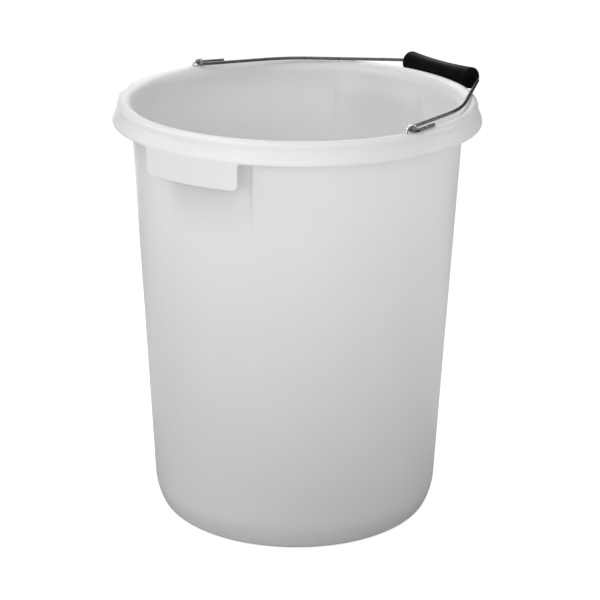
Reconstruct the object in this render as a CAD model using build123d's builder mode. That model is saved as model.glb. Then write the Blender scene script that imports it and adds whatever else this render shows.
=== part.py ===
"""A 30 litre mixing bucket in moulded plastic, with a wire bail and a loose hand grip.

The bail's hooked ends pass under two wire eyes that are clinched through the rim. X runs along
the bail's swing axis, Z runs up the bucket's axis, and the bucket stands on Z = 0.
"""
import os
from math import asin, atan, cos, degrees, radians, sin, tan

from build123d import *

# Bucket body, in millimetres and degrees
bucket_height = 424.0
skirt_diameter = 362.0
wall_thickness = 3.0
wall_draft = 2.63
mouth_rounding = 12.0
lip_rounding = 4.6
lip_depth = 8.0
lip_bend = 8.0
skirt_step = 4.4
skirt_depth = 21.5
skirt_land = 3.0
skirt_bend = 6.0
skirt_edge_rounding = 1.2

# Floor and foot of the bucket
floor_thickness = 3.5
floor_corner = 8.0
base_recess = 3.0
foot_width = 10.0
foot_curve_radius = 60.0
foot_lean = 27.0
foot_corner = 8.0

# Finger pads: a tab below the skirt, and a straight-backed recess in the wall behind it
pad_count = 2
pad_heading = -71.5
pad_width = 104.0
tab_depth = 47.0
tab_corner = 6.0
tab_edge_rounding = 1.0
recess_depth = 110.0
recess_lean_depth = 30.0
recess_top_depth = 14.0

# Wire eyes on the rim
eye_wire_diameter = 3.2
eye_lip_gap = 1.0
eye_side_gap = 2.6
eye_headroom = 0.6
eye_hole_clearance = 0.05
clinch_gap = 1.8
clinch_length = 8.0
clinch_bend = 2.4

# Bail
bail_wire_diameter = 3.4
bail_rest_gap = 0.3
hook_side_gap = 2.4
hook_bend = 4.5
hook_tail = 30.5
run_lean = 16.526
knee_setback = 95.2
knee_bend = 120.0
shoulder_clearance = 8.5
shoulder_bend = 9.0
wire_end_rounding = 0.6

# Hand grip
grip_length = 98.0
grip_end_diameter = 22.4
grip_waist_diameter = 18.4
grip_end_rounding = 3.0
grip_bore_clearance = 0.05
grip_lip_gap = 0.4

# Rim: the wall rolls outwards over the crest and comes down as a lip and a flared skirt
draft = radians(wall_draft)
skirt_radius = skirt_diameter / 2
lip_radius = skirt_radius - skirt_step
crest_radius = lip_radius - lip_rounding
mouth_centre = (crest_radius, bucket_height - mouth_rounding)
lip_centre = (crest_radius, bucket_height - lip_rounding)
channel_rounding = mouth_rounding - wall_thickness
flare = atan(skirt_step / (skirt_depth - skirt_land - lip_depth))
flare_shift = wall_thickness * tan(flare / 2)


def height_at(depth):
    """Height of a point that lies this far below the rim's crest."""
    return bucket_height - depth


def outer_wall(height):
    """Radius of the wall's outer face at a height."""
    top_radius = crest_radius - channel_rounding * cos(draft)
    top_height = mouth_centre[1] + channel_rounding * sin(draft)
    return top_radius - (top_height - height) * tan(draft)


def inner_wall(height):
    """Radius of the wall's inner face at a height."""
    return outer_wall(height) - wall_thickness / cos(draft)


def middle_wall(height):
    """Radius half way through the wall at a height."""
    return (outer_wall(height) + inner_wall(height)) / 2


# Foot: the wall curves inwards on a large arc, then turns a small corner to the floor
lean = radians(foot_lean)
foot_top = foot_curve_radius * (sin(lean) - sin(draft)) + foot_corner * (1 - sin(lean))
foot_centre = (
    outer_wall(foot_top) - foot_curve_radius * cos(draft),
    foot_top + foot_curve_radius * sin(draft),
)
foot_corner_centre = (
    foot_centre[0] + (foot_curve_radius - foot_corner) * cos(lean),
    foot_corner,
)
foot_inside = foot_corner_centre[0] - foot_width
floor_top = base_recess + floor_thickness
inner_curve_radius = foot_curve_radius - wall_thickness
floor_corner_reach = inner_curve_radius - floor_corner
floor_lean = degrees(asin((foot_centre[1] - floor_top - floor_corner) / floor_corner_reach))
floor_corner_centre = (
    foot_centre[0] + floor_corner_reach * cos(radians(floor_lean)),
    floor_top + floor_corner,
)

# The recess's back stands upright, so it runs out into the tapered wall at the recess's depth.
# Its shapes carry on below that line, where they meet nothing
recess_radius = outer_wall(height_at(recess_depth))
recess_top = height_at(recess_top_depth)
recess_shoulder = height_at(recess_lean_depth)
recess_foot = height_at(recess_depth + recess_lean_depth)

# The bail swings about an axis just above the crest, under the arches of the eyes. The eyes stand
# just inside the lip, and the grip's waist lies just outside it
swing_height = bucket_height + bail_rest_gap + bail_wire_diameter / 2
eye_place = lip_radius - wall_thickness - eye_lip_gap - eye_wire_diameter / 2
eye_gap = bail_wire_diameter + 2 * eye_side_gap
leg_place = (eye_gap + eye_wire_diameter) / 2
arch_height = swing_height + bail_wire_diameter / 2 + eye_headroom - eye_gap / 2
clinch_height = height_at(wall_thickness + clinch_gap) - eye_wire_diameter / 2
bail_reach = lip_radius + grip_lip_gap + grip_waist_diameter / 2


# Finger tab, made facing +X: a band in line with the skirt, trimmed to a rounded outline
with BuildPart() as finger_tab:
    with BuildSketch(Plane.XZ):
        with BuildLine():
            Polyline(
                (skirt_radius - wall_thickness, height_at(tab_depth)),
                (skirt_radius, height_at(tab_depth)),
                (skirt_radius, height_at(skirt_depth - skirt_land)),
                (skirt_radius - wall_thickness, height_at(skirt_depth - skirt_land)),
                close=True,
            )
        make_face()
    revolve(axis=Axis.Z)
    with BuildSketch(Plane.YZ):
        with BuildLine():
            sides = FilletPolyline(
                (-pad_width / 2, height_at(skirt_depth - skirt_land / 2)),
                (-pad_width / 2, height_at(tab_depth)),
                (pad_width / 2, height_at(tab_depth)),
                (pad_width / 2, height_at(skirt_depth - skirt_land / 2)),
                radius=tab_corner,
            )
            Line(sides @ 1, sides @ 0)
        make_face()
    extrude(amount=skirt_diameter, mode=Mode.INTERSECT)
    broad_faces = finger_tab.faces().sort_by(SortBy.AREA)[-2:]
    fillet(broad_faces.edges().sort_by(Axis.Z)[:-2], tab_edge_rounding)

# Recess backing, made facing +X: the wall's thickness carried inwards behind the recess
with BuildPart() as recess_backing:
    with BuildSketch(Plane.XZ):
        with BuildLine():
            Polyline(
                (recess_radius - wall_thickness, recess_foot),
                (recess_radius - wall_thickness, recess_shoulder),
                (inner_wall(recess_top), recess_top),
                (middle_wall(recess_top), recess_top),
                (middle_wall(recess_foot), recess_foot),
                close=True,
            )
        make_face()
    revolve(axis=Axis.Z)
    with BuildSketch(Plane.YZ):
        with Locations((0, bucket_height / 2)):
            Rectangle(pad_width + 2 * wall_thickness, bucket_height)
    extrude(amount=skirt_diameter, mode=Mode.INTERSECT)

# Recess space, made facing +X: what the recess takes out of the wall's outer side
with BuildPart() as recess_space:
    with BuildSketch(Plane.XZ):
        with BuildLine():
            Polyline(
                (recess_radius, recess_foot),
                (recess_radius, recess_shoulder),
                (outer_wall(recess_top), recess_top),
                (outer_wall(recess_top) + wall_thickness, recess_top),
                (outer_wall(recess_top) + wall_thickness, recess_foot),
                close=True,
            )
        make_face()
    revolve(axis=Axis.Z)
    with BuildSketch(Plane.YZ):
        with Locations((0, bucket_height / 2)):
            Rectangle(pad_width, bucket_height)
    extrude(amount=skirt_diameter, mode=Mode.INTERSECT)

# Bucket body: one moulding turned about Z, with two finger pads and holes for the eyes
with BuildPart() as bucket_body:
    with BuildSketch(Plane.XZ):
        with BuildLine():
            mouth = CenterArc(mouth_centre, mouth_rounding, 90, 90 - wall_draft)
            channel = CenterArc(mouth_centre, channel_rounding, 90, 90 - wall_draft)
            lip = CenterArc(lip_centre, lip_rounding, 0, 90)
            lip_inside = CenterArc(lip_centre, lip_rounding - wall_thickness, 0, 90)
            FilletPolyline(
                lip @ 0,
                (lip_radius, height_at(lip_depth)),
                (skirt_radius, height_at(skirt_depth - skirt_land)),
                (skirt_radius, height_at(skirt_depth)),
                (skirt_radius - wall_thickness, height_at(skirt_depth)),
                (skirt_radius - wall_thickness, height_at(skirt_depth - skirt_land) - flare_shift),
                (lip_radius - wall_thickness, height_at(lip_depth) - flare_shift),
                lip_inside @ 0,
                radius=(
                    lip_bend,
                    skirt_bend,
                    skirt_edge_rounding,
                    skirt_edge_rounding,
                    skirt_bend - wall_thickness,
                    lip_bend + wall_thickness,
                ),
            )
            outer_curve = CenterArc(
                foot_centre, foot_curve_radius, -wall_draft, wall_draft - foot_lean
            )
            outer_corner = CenterArc(
                foot_corner_centre, foot_corner, -foot_lean, foot_lean - 90
            )
            inner_curve = CenterArc(
                foot_centre, inner_curve_radius, -wall_draft, wall_draft - floor_lean
            )
            inner_corner = CenterArc(
                floor_corner_centre, floor_corner, -floor_lean, floor_lean - 90
            )
            Line(mouth @ 1, inner_curve @ 0)
            Line(channel @ 1, outer_curve @ 0)
            Polyline(
                outer_corner @ 1,
                (foot_inside, 0),
                (foot_inside - base_recess, base_recess),
                (0, base_recess),
                (0, floor_top),
                inner_corner @ 1,
            )
        make_face()
    revolve(axis=Axis.Z)
    with PolarLocations(0, pad_count, start_angle=pad_heading):
        add(recess_backing.part)
        add(recess_space.part, mode=Mode.SUBTRACT)
        add(finger_tab.part)
    with GridLocations(2 * eye_place, 2 * leg_place, 2, 2), Locations((0, 0, bucket_height)):
        Hole(eye_wire_diameter / 2 + eye_hole_clearance, depth=mouth_rounding)


def build_eye(place):
    """Wire eye: an arch over the bail, with legs through the rim that are bent apart under it."""
    with BuildPart() as eye:
        with BuildLine(Plane.YZ.offset(place)):
            crown = CenterArc((0, arch_height), leg_place, 0, 180)
            for side, leg_top in ((1, crown @ 0), (-1, crown @ 1)):
                leg = FilletPolyline(
                    leg_top,
                    (side * leg_place, clinch_height),
                    (side * (leg_place + clinch_length), clinch_height),
                    radius=clinch_bend,
                )
        with BuildSketch(Plane(leg @ 1, z_dir=leg % 1)):
            Circle(eye_wire_diameter / 2)
        sweep()
        fillet(eye.faces().filter_by(GeomType.PLANE).edges(), wire_end_rounding)
    return eye


left_eye = build_eye(-eye_place)
right_eye = build_eye(eye_place)

# Bail: one bent wire. Each end passes under its eye and turns back beside itself as a short tail
with BuildPart() as bail_wire:
    hook_width = eye_wire_diameter + bail_wire_diameter + 2 * hook_side_gap
    hook_inside = eye_place - hook_width / 2
    hook_outside = eye_place + hook_width / 2
    knee_reach = bail_reach - knee_setback
    run_slope = tan(radians(run_lean))
    right_half = (
        (hook_outside - run_slope * hook_tail, hook_tail),
        (hook_outside, 0),
        (hook_inside, 0),
        (hook_inside - run_slope * knee_reach, knee_reach),
        (grip_length / 2 + shoulder_clearance, bail_reach),
    )
    left_half = [(-x, y) for x, y in reversed(right_half)]
    half_bends = (hook_bend, hook_bend, knee_bend, shoulder_bend)
    with BuildLine(Plane.XY.offset(swing_height)):
        route = FilletPolyline(*right_half, *left_half, radius=half_bends + half_bends[::-1])
    with BuildSketch(Plane(route @ 0, z_dir=route % 0)):
        Circle(bail_wire_diameter / 2)
    sweep()
    fillet(bail_wire.faces().filter_by(GeomType.PLANE).edges(), wire_end_rounding)

# Hand grip: a waisted tube that turns freely on the straight part of the bail
with BuildPart() as hand_grip:
    grip_plane = Plane(origin=(0, bail_reach, swing_height))
    bore_radius = bail_wire_diameter / 2 + grip_bore_clearance
    with BuildSketch(grip_plane) as grip_section:
        with BuildLine():
            ends = Polyline(
                (-grip_length / 2, grip_end_diameter / 2),
                (-grip_length / 2, bore_radius),
                (grip_length / 2, bore_radius),
                (grip_length / 2, grip_end_diameter / 2),
            )
            ThreePointArc(ends @ 1, (0, grip_waist_diameter / 2), ends @ 0)
        make_face()
        fillet(grip_section.vertices().sort_by(Axis.Y)[-2:], grip_end_rounding)
    revolve(axis=Axis(grip_plane.origin, grip_plane.x_dir))

pieces = {
    "bucket_body": bucket_body,
    "left_eye": left_eye,
    "right_eye": right_eye,
    "bail_wire": bail_wire,
    "hand_grip": hand_grip,
}
os.makedirs("parts", exist_ok=True)
for name, piece in pieces.items():
    piece.part.label = name
    export_step(piece.part, f"parts/{name}.step")
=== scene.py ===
"""Looks of a mixing bucket: a milky plastic moulding with a wire bail and a black hand grip."""
from math import asin, atan2, cos, radians, sin, tan

import bmesh
import bpy
from mathutils import Matrix, Vector


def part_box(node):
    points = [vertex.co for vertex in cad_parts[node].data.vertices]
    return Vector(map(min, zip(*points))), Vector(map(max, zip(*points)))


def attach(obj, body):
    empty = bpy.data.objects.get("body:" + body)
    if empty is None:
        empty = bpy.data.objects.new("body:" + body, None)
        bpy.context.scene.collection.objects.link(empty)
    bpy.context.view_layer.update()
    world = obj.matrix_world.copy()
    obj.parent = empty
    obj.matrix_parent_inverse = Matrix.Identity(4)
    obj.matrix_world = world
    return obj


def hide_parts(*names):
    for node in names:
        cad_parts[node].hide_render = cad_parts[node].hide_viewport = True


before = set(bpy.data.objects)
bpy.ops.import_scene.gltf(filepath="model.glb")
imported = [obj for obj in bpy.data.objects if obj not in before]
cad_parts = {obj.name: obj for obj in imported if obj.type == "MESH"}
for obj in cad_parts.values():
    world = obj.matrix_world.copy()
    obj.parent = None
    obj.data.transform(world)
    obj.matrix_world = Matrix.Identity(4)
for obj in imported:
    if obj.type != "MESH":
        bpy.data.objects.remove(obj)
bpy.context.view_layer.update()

# Bucket body
# One injection moulding in milky polythene, 3 mm thick: a floor on a foot ring, a tapered wall, and a
# rim that rolls over into a hollow skirt. Two finger tabs hang from the skirt, each in front of a
# shallow recess in the wall.
mm = 0.001
bucket_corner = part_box("bucket_body")[1]
bucket_height = bucket_corner.z
skirt_radius = bucket_corner.x
wall = 3.0 * mm
draft = radians(2.63)
mouth_rounding = 12.0 * mm
lip_rounding = 4.6 * mm
lip_depth = 8.0 * mm
lip_bend = 8.0 * mm
skirt_step = 4.4 * mm
skirt_depth = 21.5 * mm
skirt_land = 3.0 * mm
skirt_bend = 6.0 * mm
skirt_edge_rounding = 0.9 * mm
heel_height = 15.9 * mm
heel_lean = radians(27)
heel_rounding = 56.0 * mm
heel_inside_rounding = 28.0 * mm
foot_rounding = 8.0 * mm
foot_width = 10.0 * mm
base_recess = 3.0 * mm
floor_top = 6.5 * mm
pad_heading = radians(-71.5)
pad_half_width = 52.0 * mm
tab_depth = 47.0 * mm
tab_corner = 6.0 * mm
tab_corner_heading = radians(14.2)
tab_root = 3.0 * mm
tab_root_heading = radians(18.0)
recess_depth = 110.0 * mm
recess_lean_depth = 30.0 * mm
recess_top_depth = 14.0 * mm
recess_side = radians(19.0)
recess_step = radians(0.8)
recess_bulge_step = radians(8.0)
beside_recess = radians(20.0)
rounding_steps = 6
edge_steps = 3
wall_rows = 56
tolerance = 0.1 * mm

lip_radius = skirt_radius - skirt_step
crest_radius = lip_radius - lip_rounding
skirt_bottom = bucket_height - skirt_depth
tab_bottom = bucket_height - tab_depth
flare_shift = wall * skirt_step / (skirt_depth - skirt_land - lip_depth) / 2


def outer_wall(height):
    """Radius of the tapered wall's outer face at a height."""
    channel_rounding = mouth_rounding - wall
    top_height = bucket_height - mouth_rounding + channel_rounding * sin(draft)
    return crest_radius - channel_rounding * cos(draft) - (top_height - height) * tan(draft)


def ease(low, high, value):
    """Eases from 0 at low to 1 at high."""
    share = min(max((value - low) / (high - low), 0.0), 1.0)
    return share * share * (3 - 2 * share)


def recess_in(place, step):
    """How far a recess sets the wall inwards at a place, its side going back over a step of heading."""
    back = outer_wall(bucket_height - recess_depth)
    depth = max(outer_wall(place.z) - back, 0.0)
    below_top = ease(recess_top_depth, recess_lean_depth, bucket_height - place.z)
    heading = atan2(abs(place.y), abs(place.x))
    within_sides = ease(recess_side + step / 2, recess_side - step / 2, heading)
    return depth * below_top * within_sides


def round_off(bm, geom, offset, segments, affect="EDGES"):
    """Bevels edges, or the corners of a line of edges, to a round of the given segments."""
    bmesh.ops.bevel(
        bm,
        geom=geom,
        offset=offset,
        offset_type="OFFSET",
        affect=affect,
        segments=segments,
        profile=0.5,
        material=-1,
        loop_slide=False,
    )


def add_rounded_chain(bm, corners):
    """Adds wire edges through (point, rounding) corners and bevels each corner round."""
    chain = [bm.verts.new(point) for point, _ in corners]
    for start, end in zip(chain, chain[1:]):
        bm.edges.new((start, end))
    for vert, (_, rounding) in zip(chain, corners):
        if rounding:
            before, after = (edge.other_vert(vert).co - vert.co for edge in vert.link_edges)
            round_off(bm, [vert], rounding / tan(before.angle(after) / 2), rounding_steps, "VERTICES")


heel_radius = outer_wall(heel_height)
foot_radius = heel_radius - heel_height * tan(heel_lean)
foot_inside = foot_radius - foot_rounding * tan((radians(90) - heel_lean) / 2) - foot_width
mean_lean = (heel_lean + draft) / 2
heel_offset = wall / cos((heel_lean - draft) / 2)
inside_heel_radius = heel_radius - heel_offset * cos(mean_lean)
inside_heel_height = heel_height + heel_offset * sin(mean_lean)
inside_foot_radius = inside_heel_radius - (inside_heel_height - floor_top) * tan(heel_lean)
# Corners of the wall's section, as radius, height and rounding: up the inside, over and down the outside
section = (
    (0, floor_top, 0),
    (inside_foot_radius, floor_top, foot_rounding),
    (inside_heel_radius, inside_heel_height, heel_inside_rounding),
    (outer_wall(bucket_height) - wall / cos(draft), bucket_height, mouth_rounding),
    (lip_radius, bucket_height, lip_rounding),
    (lip_radius, bucket_height - lip_depth, lip_bend),
    (skirt_radius, skirt_bottom + skirt_land, skirt_bend),
    (skirt_radius, skirt_bottom, 0),
    (skirt_radius - wall, skirt_bottom, 0),
    (skirt_radius - wall, skirt_bottom + skirt_land - flare_shift, skirt_bend - wall),
    (lip_radius - wall, bucket_height - lip_depth - flare_shift, lip_bend + wall),
    (lip_radius - wall, bucket_height - wall, lip_rounding - wall),
    (outer_wall(bucket_height - wall), bucket_height - wall, mouth_rounding - wall),
    (heel_radius, heel_height, heel_rounding),
    (foot_radius, 0, foot_rounding),
    (foot_inside, 0, 0),
    (foot_inside - base_recess, base_recess, 0),
    (0, base_recess, 0),
)
bm = bmesh.new()
add_rounded_chain(bm, [((0, -radius, height), rounding) for radius, height, rounding in section])
wall_edges = sorted(bm.edges, key=lambda edge: edge.calc_length())[-2:]
bmesh.ops.subdivide_edges(bm, edges=wall_edges, cuts=wall_rows)
# A half turn, as headings from a pad's middle and steps up to them: the tab's corner and root each have
# one wide step beside the tab's side, and the recess's side has small ones
tab_side = asin(pad_half_width / skirt_radius)
step_start = recess_side - recess_step / 2
step_end = recess_side + recess_step / 2
arcs = []
reached = 0.0
for heading, steps in (
    (tab_corner_heading, 5),
    (tab_side, 1),
    (tab_root_heading, 1),
    (step_start, 1),
    (step_end, 2),
    (beside_recess, 1),
    (radians(90), 25),
):
    arcs.append((heading - reached, steps))
    reached = heading
half_turn = arcs[::-1] + arcs
ring = bm.verts[:] + bm.edges[:]
for angle, steps in half_turn + half_turn:
    turned = bmesh.ops.spin(
        bm, geom=ring, cent=(0, 0, 0), axis=(0, 0, 1), angle=angle, steps=steps, use_merge=False
    )
    ring = turned["geom_last"]
bmesh.ops.remove_doubles(bm, verts=bm.verts, dist=0.01 * mm)
bmesh.ops.recalc_face_normals(bm, faces=bm.faces)
# The pads face +X and -X as made. Each recess is marked, most in its middle, for painted shade: the
# plastic's colour is made a little darker there than on the wall round it. Its middle is as thick as the
# wall
painted_recess_shade = bm.verts.layers.float.new("painted_recess_shade")
deepest = outer_wall(bucket_height - recess_lean_depth) - outer_wall(bucket_height - recess_depth)
for vert in bm.verts:
    radius = vert.co.xy.length
    if abs(radius - outer_wall(vert.co.z)) < wall / 2:
        set_in = recess_in(vert.co, recess_step)
        heading = atan2(abs(vert.co.y), abs(vert.co.x))
        vert[painted_recess_shade] = set_in / deepest * ease(recess_side, recess_side / 2, heading)
        vert.co.xy *= 1 - set_in / radius
    elif abs(radius + wall - outer_wall(vert.co.z)) < wall / 2:
        vert.co.xy *= 1 - recess_in(vert.co, recess_bulge_step) / radius


def on_edge(item):
    """Whether a face or edge lies on the skirt's lower edge or below it."""
    return all(v.co.z < skirt_bottom + tolerance and v.co.xy.length > lip_radius for v in item.verts)


def spans_wall(item):
    """Whether a face or edge goes from the skirt's outer side to its inner side."""
    radii = [vert.co.xy.length for vert in item.verts]
    return max(radii) - min(radii) > wall / 2


tab_faces = [f for f in bm.faces if on_edge(f) and abs(f.calc_center_median().y) < pad_half_width]
drawn = bmesh.ops.extrude_face_region(bm, geom=tab_faces)["geom"]
drawn_verts = [item for item in drawn if isinstance(item, bmesh.types.BMVert)]
bmesh.ops.translate(bm, verts=drawn_verts, vec=(0, 0, tab_bottom - skirt_bottom))
bmesh.ops.delete(bm, geom=tab_faces, context="FACES")
for height, rounding in ((tab_bottom, tab_corner), (skirt_bottom, tab_root)):
    corners = [
        edge
        for edge in bm.edges
        if on_edge(edge)
        and spans_wall(edge)
        and max(abs(vert.co.z - height) for vert in edge.verts) < tolerance
        and abs(max(abs(vert.co.y) for vert in edge.verts) - pad_half_width) < tolerance
    ]
    round_off(bm, corners, rounding, rounding_steps)
outline = [
    edge for edge in bm.edges if on_edge(edge) and [spans_wall(f) for f in edge.link_faces].count(True) == 1
]
round_off(bm, outline, skirt_edge_rounding, edge_steps)
bmesh.ops.rotate(bm, verts=bm.verts, cent=(0, 0, 0), matrix=Matrix.Rotation(pad_heading, 3, "Z"))


def add_node(tree, kind, inputs, **properties):
    """Adds a shader node, with its properties set and its inputs set or linked."""
    node = tree.nodes.new(kind)
    for name, value in properties.items():
        setattr(node, name, value)
    for name, value in inputs.items():
        if isinstance(value, bpy.types.NodeSocket):
            tree.links.new(value, node.inputs[name])
        else:
            node.inputs[name].default_value = value
    return node


def mix_colour(tree, share, first, second):
    """Colour that goes from the first to the second with a share that changes over the surface."""
    return add_node(tree, "ShaderNodeMix", {0: share, 6: first, 7: second}, data_type="RGBA").outputs[2]


def remap(tree, value, low, high, to_low, to_high):
    """Value moved from one range to another and kept inside it."""
    inputs = {"Value": value, "From Min": low, "From Max": high, "To Min": to_low, "To Max": to_high}
    return add_node(tree, "ShaderNodeMapRange", inputs).outputs["Result"]


def start_material(name):
    """New node material, with its tree, its Principled shader and the piece's own coordinates."""
    material = bpy.data.materials.new(name)
    material.use_nodes = True
    tree = material.node_tree
    place = add_node(tree, "ShaderNodeTexCoord", {}).outputs["Object"]
    return material, tree, tree.nodes["Principled BSDF"], place


def build_moulded_skin():
    """Skin of a moulded plastic: cloudy patches, streaks along the flow, and a fine grain."""
    group = bpy.data.node_groups.new("moulded_skin", "ShaderNodeTree")
    for name, kind in (
        ("Place", "NodeSocketVector"),
        ("Flow Place", "NodeSocketVector"),
        ("Cloud Scale", "NodeSocketFloat"),
        ("Grain Scale", "NodeSocketFloat"),
    ):
        group.interface.new_socket(name, in_out="INPUT", socket_type=kind)
    for name in ("Cloud", "Streak", "Grain"):
        group.interface.new_socket(name, in_out="OUTPUT", socket_type="NodeSocketFloat")
    given = add_node(group, "NodeGroupInput", {}).outputs
    cloud = add_node(
        group,
        "ShaderNodeTexNoise",
        {"Vector": given["Place"], "Scale": given["Cloud Scale"], "Detail": 3.0},
    )
    streak = add_node(
        group,
        "ShaderNodeTexNoise",
        {"Vector": given["Flow Place"], "Scale": given["Cloud Scale"], "Detail": 4.0},
    )
    grain = add_node(
        group,
        "ShaderNodeTexNoise",
        {"Vector": given["Place"], "Scale": given["Grain Scale"], "Detail": 2.0},
    )
    add_node(
        group,
        "NodeGroupOutput",
        {"Cloud": cloud.outputs["Fac"], "Streak": streak.outputs["Fac"], "Grain": grain.outputs["Fac"]},
    )
    return group


moulded_skin = build_moulded_skin()


def combine(tree, operation, first, second):
    """Result of a sum on two values of the surface."""
    return add_node(tree, "ShaderNodeMath", {0: first, 1: second}, operation=operation).outputs[0]


def build_milky_polythene():
    """Milky, see-through polythene, with faint flow streaks up the wall, a scuffed foot, painted light on
    the rim and tabs, and painted shade in the recesses.
    """
    material, tree, shader, place = start_material("milky_polythene")
    flow = add_node(tree, "ShaderNodeMapping", {"Vector": place, "Scale": (4.0, 4.0, 0.25)})
    skin_inputs = {
        "Place": place,
        "Flow Place": flow.outputs["Vector"],
        "Cloud Scale": 9.0,
        "Grain Scale": 420.0,
    }
    skin = add_node(tree, "ShaderNodeGroup", skin_inputs, node_tree=moulded_skin)
    # Painted light: the rim and the finger tabs take this paler colour than the wall, for the light they
    # catch
    painted_rim_light = (0.97, 0.97, 0.98, 1)
    pale = (0.91, 0.91, 0.92, 1)
    deep = (0.885, 0.885, 0.90, 1)
    # Painted shade: the recesses take this darker colour, most in their middle
    painted_recess_shade_colour = (0.75, 0.75, 0.76, 1)
    scuffed = (0.80, 0.79, 0.77, 1)
    cloud = remap(tree, skin.outputs["Cloud"], 0.35, 0.65, 0.0, 1.0)
    height = add_node(tree, "ShaderNodeSeparateXYZ", {"Vector": place}).outputs["Z"]
    near_floor = remap(tree, height, 0.0, floor_top, 1.0, 0.0)
    rubbing = add_node(tree, "ShaderNodeTexNoise", {"Vector": place, "Scale": 140.0, "Detail": 5.0})
    scuff = combine(tree, "MULTIPLY", near_floor, remap(tree, rubbing.outputs["Fac"], 0.5, 0.68, 0.0, 1.0))
    level = add_node(tree, "ShaderNodeMapping", {"Vector": place, "Scale": (1.0, 1.0, 0.0)})
    from_axis = add_node(tree, "ShaderNodeVectorMath", {0: level.outputs["Vector"]}, operation="LENGTH")
    # Share of the painted light: none on the wall, all from the lip outwards, so on the rim and the tabs
    rim = remap(tree, from_axis.outputs["Value"], outer_wall(bucket_height), lip_radius, 0.0, 1.0)
    # The recess mark brings in the painted shade
    recess = add_node(tree, "ShaderNodeAttribute", {}, attribute_name="painted_recess_shade").outputs["Fac"]
    wall_colour = mix_colour(tree, recess, mix_colour(tree, cloud, pale, deep), painted_recess_shade_colour)
    milk = mix_colour(tree, rim, wall_colour, painted_rim_light)
    colour = mix_colour(tree, scuff, milk, scuffed)
    streaked = remap(tree, skin.outputs["Streak"], 0.3, 0.7, 0.3, 0.42)
    roughness = combine(tree, "ADD", streaked, remap(tree, scuff, 0.0, 1.0, 0.0, 0.25))
    shader.inputs["Subsurface Weight"].default_value = 0.8
    shader.inputs["Subsurface Radius"].default_value = (1.0, 0.97, 0.95)
    shader.inputs["Subsurface Scale"].default_value = 8.0 * mm
    tree.links.new(colour, shader.inputs["Base Color"])
    tree.links.new(roughness, shader.inputs["Roughness"])
    bump = add_node(
        tree, "ShaderNodeBump", {"Height": skin.outputs["Grain"], "Strength": 0.05, "Distance": 0.2 * mm}
    )
    tree.links.new(bump.outputs["Normal"], shader.inputs["Normal"])
    return material


def finish_piece(bm, name, material, body, node):
    """Makes the bmesh a smooth-shaded piece that stands for a CAD node and rides on its body."""
    for face in bm.faces:
        face.smooth = True
    mesh = bpy.data.meshes.new(name)
    bm.to_mesh(mesh)
    bm.free()
    mesh.materials.append(material)
    piece = bpy.data.objects.new(name, mesh)
    bpy.context.scene.collection.objects.link(piece)
    weighted = piece.modifiers.new("even_shading", "WEIGHTED_NORMAL")
    weighted.keep_sharp = True
    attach(piece, body)
    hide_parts(node)


finish_piece(bm, "moulded_bucket", build_milky_polythene(), "bucket", "bucket_body")

# Wire eyes
# Two arches of bright zinc-plated wire that hold the bail down on the rim. Their legs go through
# holes in the rim's crest and are bent apart under it.
eye_bend = 5.9 * mm
clinch_bend = 2.4 * mm
wire_end_rounding = 0.6 * mm
wire_sides = 20
bend_step = radians(6)


def bend_wire(corners, thickness):
    """Bends a round wire through (point, bend radius) corners, as on a jig, and rounds its ends off."""
    points = [Vector(point) for point, _ in corners]
    heading = (points[1] - points[0]).normalized()
    bm = bmesh.new()
    start = Matrix.Translation(points[0]) @ heading.to_track_quat("Z", "Y").to_matrix().to_4x4()
    bmesh.ops.create_circle(bm, cap_ends=False, segments=wire_sides, radius=thickness / 2, matrix=start)
    ring = bm.verts[:] + bm.edges[:]
    here = points[0]
    for (_, bend), corner, beyond in zip(corners[1:], points[1:], points[2:]):
        next_heading = (beyond - corner).normalized()
        turn = heading.angle(next_heading)
        bend_start = corner - heading * bend * tan(turn / 2)
        ring = bmesh.ops.spin(bm, geom=ring, dvec=bend_start - here, axis=(0, 0, 1), steps=1)["geom_last"]
        inwards = (next_heading - heading * heading.dot(next_heading)).normalized()
        bent = bmesh.ops.spin(
            bm,
            geom=ring,
            cent=bend_start + inwards * bend,
            axis=heading.cross(next_heading).normalized(),
            angle=turn,
            steps=max(4, round(turn / bend_step)),
        )
        ring = bent["geom_last"]
        here = corner + next_heading * bend * tan(turn / 2)
        heading = next_heading
    bmesh.ops.spin(bm, geom=ring, dvec=points[-1] - here, axis=(0, 0, 1), steps=1)
    bmesh.ops.remove_doubles(bm, verts=bm.verts, dist=0.001 * mm)
    ends = bmesh.ops.holes_fill(bm, edges=bm.edges)["faces"]
    bmesh.ops.recalc_face_normals(bm, faces=bm.faces)
    round_off(bm, [edge for face in ends for edge in face.edges], wire_end_rounding, edge_steps)
    return bm


def build_plated_wire(name, bright, dull):
    """Zinc-plated drawn steel, as bright as given, with duller flecks in the plating."""
    material, tree, shader, place = start_material(name)
    fleck = add_node(tree, "ShaderNodeTexNoise", {"Vector": place, "Scale": 260.0, "Detail": 3.0})
    dullness = remap(tree, fleck.outputs["Fac"], 0.4, 0.65, 0.0, 1.0)
    colour = mix_colour(tree, dullness, bright, dull)
    tree.links.new(colour, shader.inputs["Base Color"])
    tree.links.new(remap(tree, dullness, 0.0, 1.0, 0.2, 0.28), shader.inputs["Roughness"])
    shader.inputs["Metallic"].default_value = 1.0
    bump = add_node(
        tree,
        "ShaderNodeBump",
        {"Height": fleck.outputs["Fac"], "Strength": 0.05, "Distance": 0.02 * mm},
    )
    tree.links.new(bump.outputs["Normal"], shader.inputs["Normal"])
    return material


# Painted highlight: the eyes' plating is near white, far brighter than the bail's, which is the same steel
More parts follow.
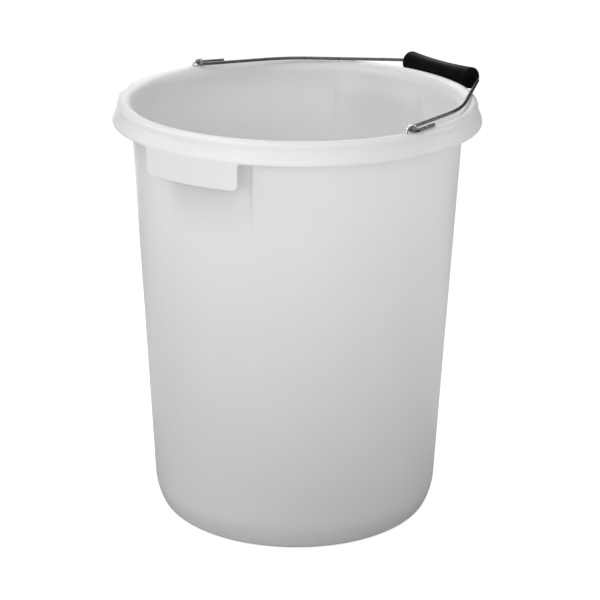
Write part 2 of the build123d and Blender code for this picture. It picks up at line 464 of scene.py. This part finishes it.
eye_plating_painted_bright = build_plated_wire("eye_plating_painted_bright", bright=(0.92, 0.92, 0.93, 1), dull=(0.7, 0.7, 0.71, 1))
for side in ("left", "right"):
    low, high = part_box(f"{side}_eye")
    place = (low.x + high.x) / 2
    eye_wire = high.x - low.x
    clinch_height = low.z + eye_wire / 2
    crown_height = high.z - eye_wire / 2
    half_eye = (
        (high.y, clinch_height, 0),
        (eye_bend, clinch_height, clinch_bend),
        (eye_bend, crown_height, eye_bend),
    )
    other_half = [(-along, height, bend) for along, height, bend in reversed(half_eye)]
    corners = [((place, along, height), bend) for along, height, bend in (*half_eye, *other_half)]
    bm = bend_wire(corners, eye_wire)
    finish_piece(bm, f"{side}_wire_eye", eye_plating_painted_bright, "bucket", f"{side}_eye")

# Bail
# One bent wire in the same plated steel, given a much darker colour as a painted reflection of the dim room
# round it. Each end passes under its eye and turns back beside itself as a hook with a short tail, so that
# it can't pull out.
bail_low, bail_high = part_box("bail_wire")
bail_wire = bail_high.z - bail_low.z
swing_height = (bail_low.z + bail_high.z) / 2
bail_reach = bail_high.y - bail_wire / 2
hook_inside = 165.3 * mm
hook_outside = 176.7 * mm
hook_bend = 4.5 * mm
hook_tail = 30.5 * mm
run_slope = tan(radians(16.526))
knee_reach = 91.0 * mm
knee_bend = 120.0 * mm
shoulder = 57.5 * mm
shoulder_bend = 9.0 * mm
half_bail = (
    (hook_outside - run_slope * hook_tail, hook_tail, 0),
    (hook_outside, 0, hook_bend),
    (hook_inside, 0, hook_bend),
    (hook_inside - run_slope * knee_reach, knee_reach, knee_bend),
    (shoulder, bail_reach, shoulder_bend),
)
other_half = [(-across, reach, bend) for across, reach, bend in reversed(half_bail)]
corners = [((across, reach, swing_height), bend) for across, reach, bend in (*half_bail, *other_half)]
# Painted reflection: this dark grey stands in for the dim room that the bail mirrors
bail_plating_painted_dark = build_plated_wire(
    "bail_plating_painted_dark", bright=(0.17, 0.173, 0.18, 1), dull=(0.12, 0.122, 0.128, 1)
)
finish_piece(bend_wire(corners, bail_wire), "bent_bail", bail_plating_painted_dark, "bail", "bail_wire")

# Hand grip
# A black moulded tube, a little slimmer in the middle and rounded at its ends. It is threaded on before
# the wire is bent, and turns freely on the bail's straight part.
grip_low, grip_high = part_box("hand_grip")
grip_length = grip_high.x - grip_low.x
grip_end_radius = 11.2 * mm
grip_waist = 2.0 * mm
grip_bore = 1.75 * mm
grip_end_rounding = 3.0 * mm
bore_chamfer = 0.6 * mm
waist_rows = 16
grip_sides = 48
half = grip_length / 2
bm = bmesh.new()
add_rounded_chain(
    bm,
    [
        ((0, 0, grip_bore), 0),
        ((-half, 0, grip_bore), bore_chamfer),
        ((-half, 0, grip_end_radius), grip_end_rounding),
        ((half, 0, grip_end_radius), grip_end_rounding),
        ((half, 0, grip_bore), bore_chamfer),
        ((0, 0, grip_bore), 0),
    ],
)
bmesh.ops.remove_doubles(bm, verts=bm.verts, dist=0.001 * mm)
hold_edge = max(bm.edges, key=lambda edge: edge.calc_length())
bmesh.ops.subdivide_edges(bm, edges=[hold_edge], cuts=waist_rows)
for vert in bm.verts:
    if vert.co.z > grip_bore + bore_chamfer:
        vert.co.z -= grip_waist * max(1 - (vert.co.x / half) ** 2, 0.0)
bmesh.ops.spin(
    bm,
    geom=bm.verts[:] + bm.edges[:],
    cent=(0, 0, 0),
    axis=(1, 0, 0),
    angle=radians(360),
    steps=grip_sides,
    use_merge=True,
)
bmesh.ops.recalc_face_normals(bm, faces=bm.faces)
bmesh.ops.translate(bm, verts=bm.verts, vec=(grip_low + grip_high) / 2)


def build_grip_plastic():
    """Black moulded plastic with a satin grain, rubbed smoother where a hand holds it."""
    material, tree, shader, place = start_material("grip_plastic")
    flow = add_node(tree, "ShaderNodeMapping", {"Vector": place, "Scale": (0.2, 4.0, 4.0)})
    skin_inputs = {
        "Place": place,
        "Flow Place": flow.outputs["Vector"],
        "Cloud Scale": 60.0,
        "Grain Scale": 1900.0,
    }
    skin = add_node(tree, "ShaderNodeGroup", skin_inputs, node_tree=moulded_skin)
    cloud = remap(tree, skin.outputs["Cloud"], 0.35, 0.65, 0.0, 1.0)
    along = add_node(tree, "ShaderNodeSeparateXYZ", {"Vector": place}).outputs["X"]
    from_middle = add_node(tree, "ShaderNodeMath", {0: along}, operation="ABSOLUTE").outputs[0]
    held = remap(tree, from_middle, 20.0 * mm, 44.0 * mm, 0.36, 0.5)
    streaked = remap(tree, skin.outputs["Streak"], 0.3, 0.7, -0.04, 0.06)
    colour = mix_colour(tree, cloud, (0.003, 0.003, 0.0033, 1), (0.006, 0.006, 0.0065, 1))
    tree.links.new(colour, shader.inputs["Base Color"])
    tree.links.new(combine(tree, "ADD", held, streaked), shader.inputs["Roughness"])
    shader.inputs["IOR"].default_value = 1.12
    bump = add_node(
        tree, "ShaderNodeBump", {"Height": skin.outputs["Grain"], "Strength": 0.25, "Distance": 0.1 * mm}
    )
    tree.links.new(bump.outputs["Normal"], shader.inputs["Normal"])
    return material


finish_piece(bm, "moulded_grip", build_grip_plastic(), "grip", "hand_grip")

# Studio
# A plain pale paper floor, soft lights all round, and a camera where the photograph was taken from.
# None of it is part of the bucket.
floor_size = 30.0
camera_heading = radians(-37.5)
shadow_middle = (0.085, 0.061, 0)
bm = bmesh.new()
bmesh.ops.create_grid(bm, x_segments=1, y_segments=1, size=floor_size / 2)
floor_mesh = bpy.data.meshes.new("floor")
bm.to_mesh(floor_mesh)
bm.free()


def build_floor_paper():
    """Pale paper that looks evenly white to the camera and lights the bucket softly from below."""
    material, tree, shader, place = start_material("floor_paper")
    ray = add_node(tree, "ShaderNodeLightPath", {}).outputs
    # Mirrored, the paper is a pool of light behind the bucket, and as a light it is dimmer in its shadow
    ahead = (-cos(camera_heading), -sin(camera_heading), 0)
    behind = add_node(tree, "ShaderNodeVectorMath", {0: place, 1: ahead}, operation="DOT_PRODUCT")
    near_gleam = remap(tree, behind.outputs["Value"], 0.0, 0.2, 0.1, 0.55)
    gleam = combine(tree, "MULTIPLY", near_gleam, remap(tree, behind.outputs["Value"], 0.4, 0.9, 1.0, 0.4))
    from_shadow = add_node(tree, "ShaderNodeVectorMath", {0: place, 1: shadow_middle}, operation="DISTANCE")
    light = remap(tree, from_shadow.outputs["Value"], 0.05, 0.22, 0.18, 0.345)
    glow = combine(tree, "MULTIPLY", ray["Is Camera Ray"], 0.75)
    for kind, strength in (("Is Glossy Ray", gleam), ("Is Diffuse Ray", light)):
        glow = combine(tree, "ADD", glow, combine(tree, "MULTIPLY", ray[kind], strength))
    colour = mix_colour(tree, ray["Is Camera Ray"], (0.05, 0.05, 0.05, 1), (0.6, 0.6, 0.6, 1))
    tree.links.new(colour, shader.inputs["Base Color"])
    shader.inputs["Roughness"].default_value = 1.0
    shader.inputs["Specular IOR Level"].default_value = 0.0
    shader.inputs["Emission Color"].default_value = (1, 1, 1, 1)
    tree.links.new(glow, shader.inputs["Emission Strength"])
    material.cycles.emission_sampling = "NONE"
    return material


floor_mesh.materials.append(build_floor_paper())
floor = bpy.data.objects.new("floor", floor_mesh)
bpy.context.scene.collection.objects.link(floor)

world = bpy.data.worlds.new("studio")
bpy.context.scene.world = world
world.use_nodes = True
room = world.node_tree
direction = add_node(room, "ShaderNodeTexCoord", {}).outputs["Generated"]
rise = add_node(room, "ShaderNodeSeparateXYZ", {"Vector": direction}).outputs["Z"]
# Bright wire mirrors a room that is dim at eye level and bright overhead
mirrored = remap(room, rise, 0.3, 0.75, 0.05, 0.9)
ray = add_node(room, "ShaderNodeLightPath", {}).outputs
lit = mix_colour(room, ray["Is Glossy Ray"], (0.485, 0.485, 0.485, 1), mirrored)
backdrop = mix_colour(room, ray["Is Camera Ray"], lit, (1, 1, 1, 1))
room.links.new(backdrop, room.nodes["Background"].inputs["Color"])
bpy.context.scene.view_settings.view_transform = "Standard"


def add_soft_box(name, heading, distance, height, size, power, aim, spread):
    """Square light at a heading from the camera, turned to a height on the bucket's axis."""
    data = bpy.data.lights.new(name, "AREA")
    data.size = size
    data.energy = power
    data.spread = radians(spread)
    light = bpy.data.objects.new(name, data)
    light.visible_camera = False
    turn = camera_heading + radians(heading)
    light.location = (distance * cos(turn), distance * sin(turn), height)
    light.rotation_mode = "QUATERNION"
    light.rotation_quaternion = (Vector((0, 0, aim)) - light.location).to_track_quat("-Z", "Y")
    bpy.context.scene.collection.objects.link(light)
    return light


# Boxes all round light the bucket's middle, and two cards near the floor light the skirt from below.
# Headings are in degrees from the camera, sizes in metres and powers in watts
for name, heading, distance, height, size, power in (
    ("left_box", -90, 0.9, 0.75, 0.5, 0.75),
    ("left_high_box", -70, 0.9, 1.4, 0.5, 3.5),
    ("left_front_box", -33, 0.75, 0.5, 0.4, 0.9),
    ("front_box", 5, 0.6, 0.5, 0.3, 0.38),
    ("right_box", 95, 0.9, 0.6, 0.4, 0.76),
    ("back_box", 180, 0.9, 0.9, 0.5, 1.8),
    ("back_left_box", -160, 0.7, 0.3, 0.4, 0.95),
):
    add_soft_box(name, heading, distance, height, size, power, aim=0.3, spread=180)
for name, heading, power in (("front_card", 5, 0.12), ("right_card", 60, 0.165)):
    card = add_soft_box(name, heading, distance=0.7, height=0.05, size=0.3, power=power, aim=0.5, spread=80)
    card.visible_glossy = False

camera_rise = radians(20.1)
camera_roll = radians(0.433)
camera_distance = 1.9106
camera_aim = Vector((0, 0, 0.2))
camera_data = bpy.data.cameras.new("camera")
camera_data.sensor_width = 36
camera_data.lens = 112.41
camera_data.shift_x = 0.007
camera_data.shift_y = 0.0186
camera = bpy.data.objects.new("camera", camera_data)
bpy.context.scene.collection.objects.link(camera)
away = Vector(
    (cos(camera_rise) * cos(camera_heading), cos(camera_rise) * sin(camera_heading), sin(camera_rise))
)
camera.location = camera_aim + camera_distance * away
camera.rotation_mode = "QUATERNION"
roll = Matrix.Rotation(camera_roll, 3, "Z").to_quaternion()
camera.rotation_quaternion = (-away).to_track_quat("-Z", "Y") @ roll
bpy.context.scene.camera = camera
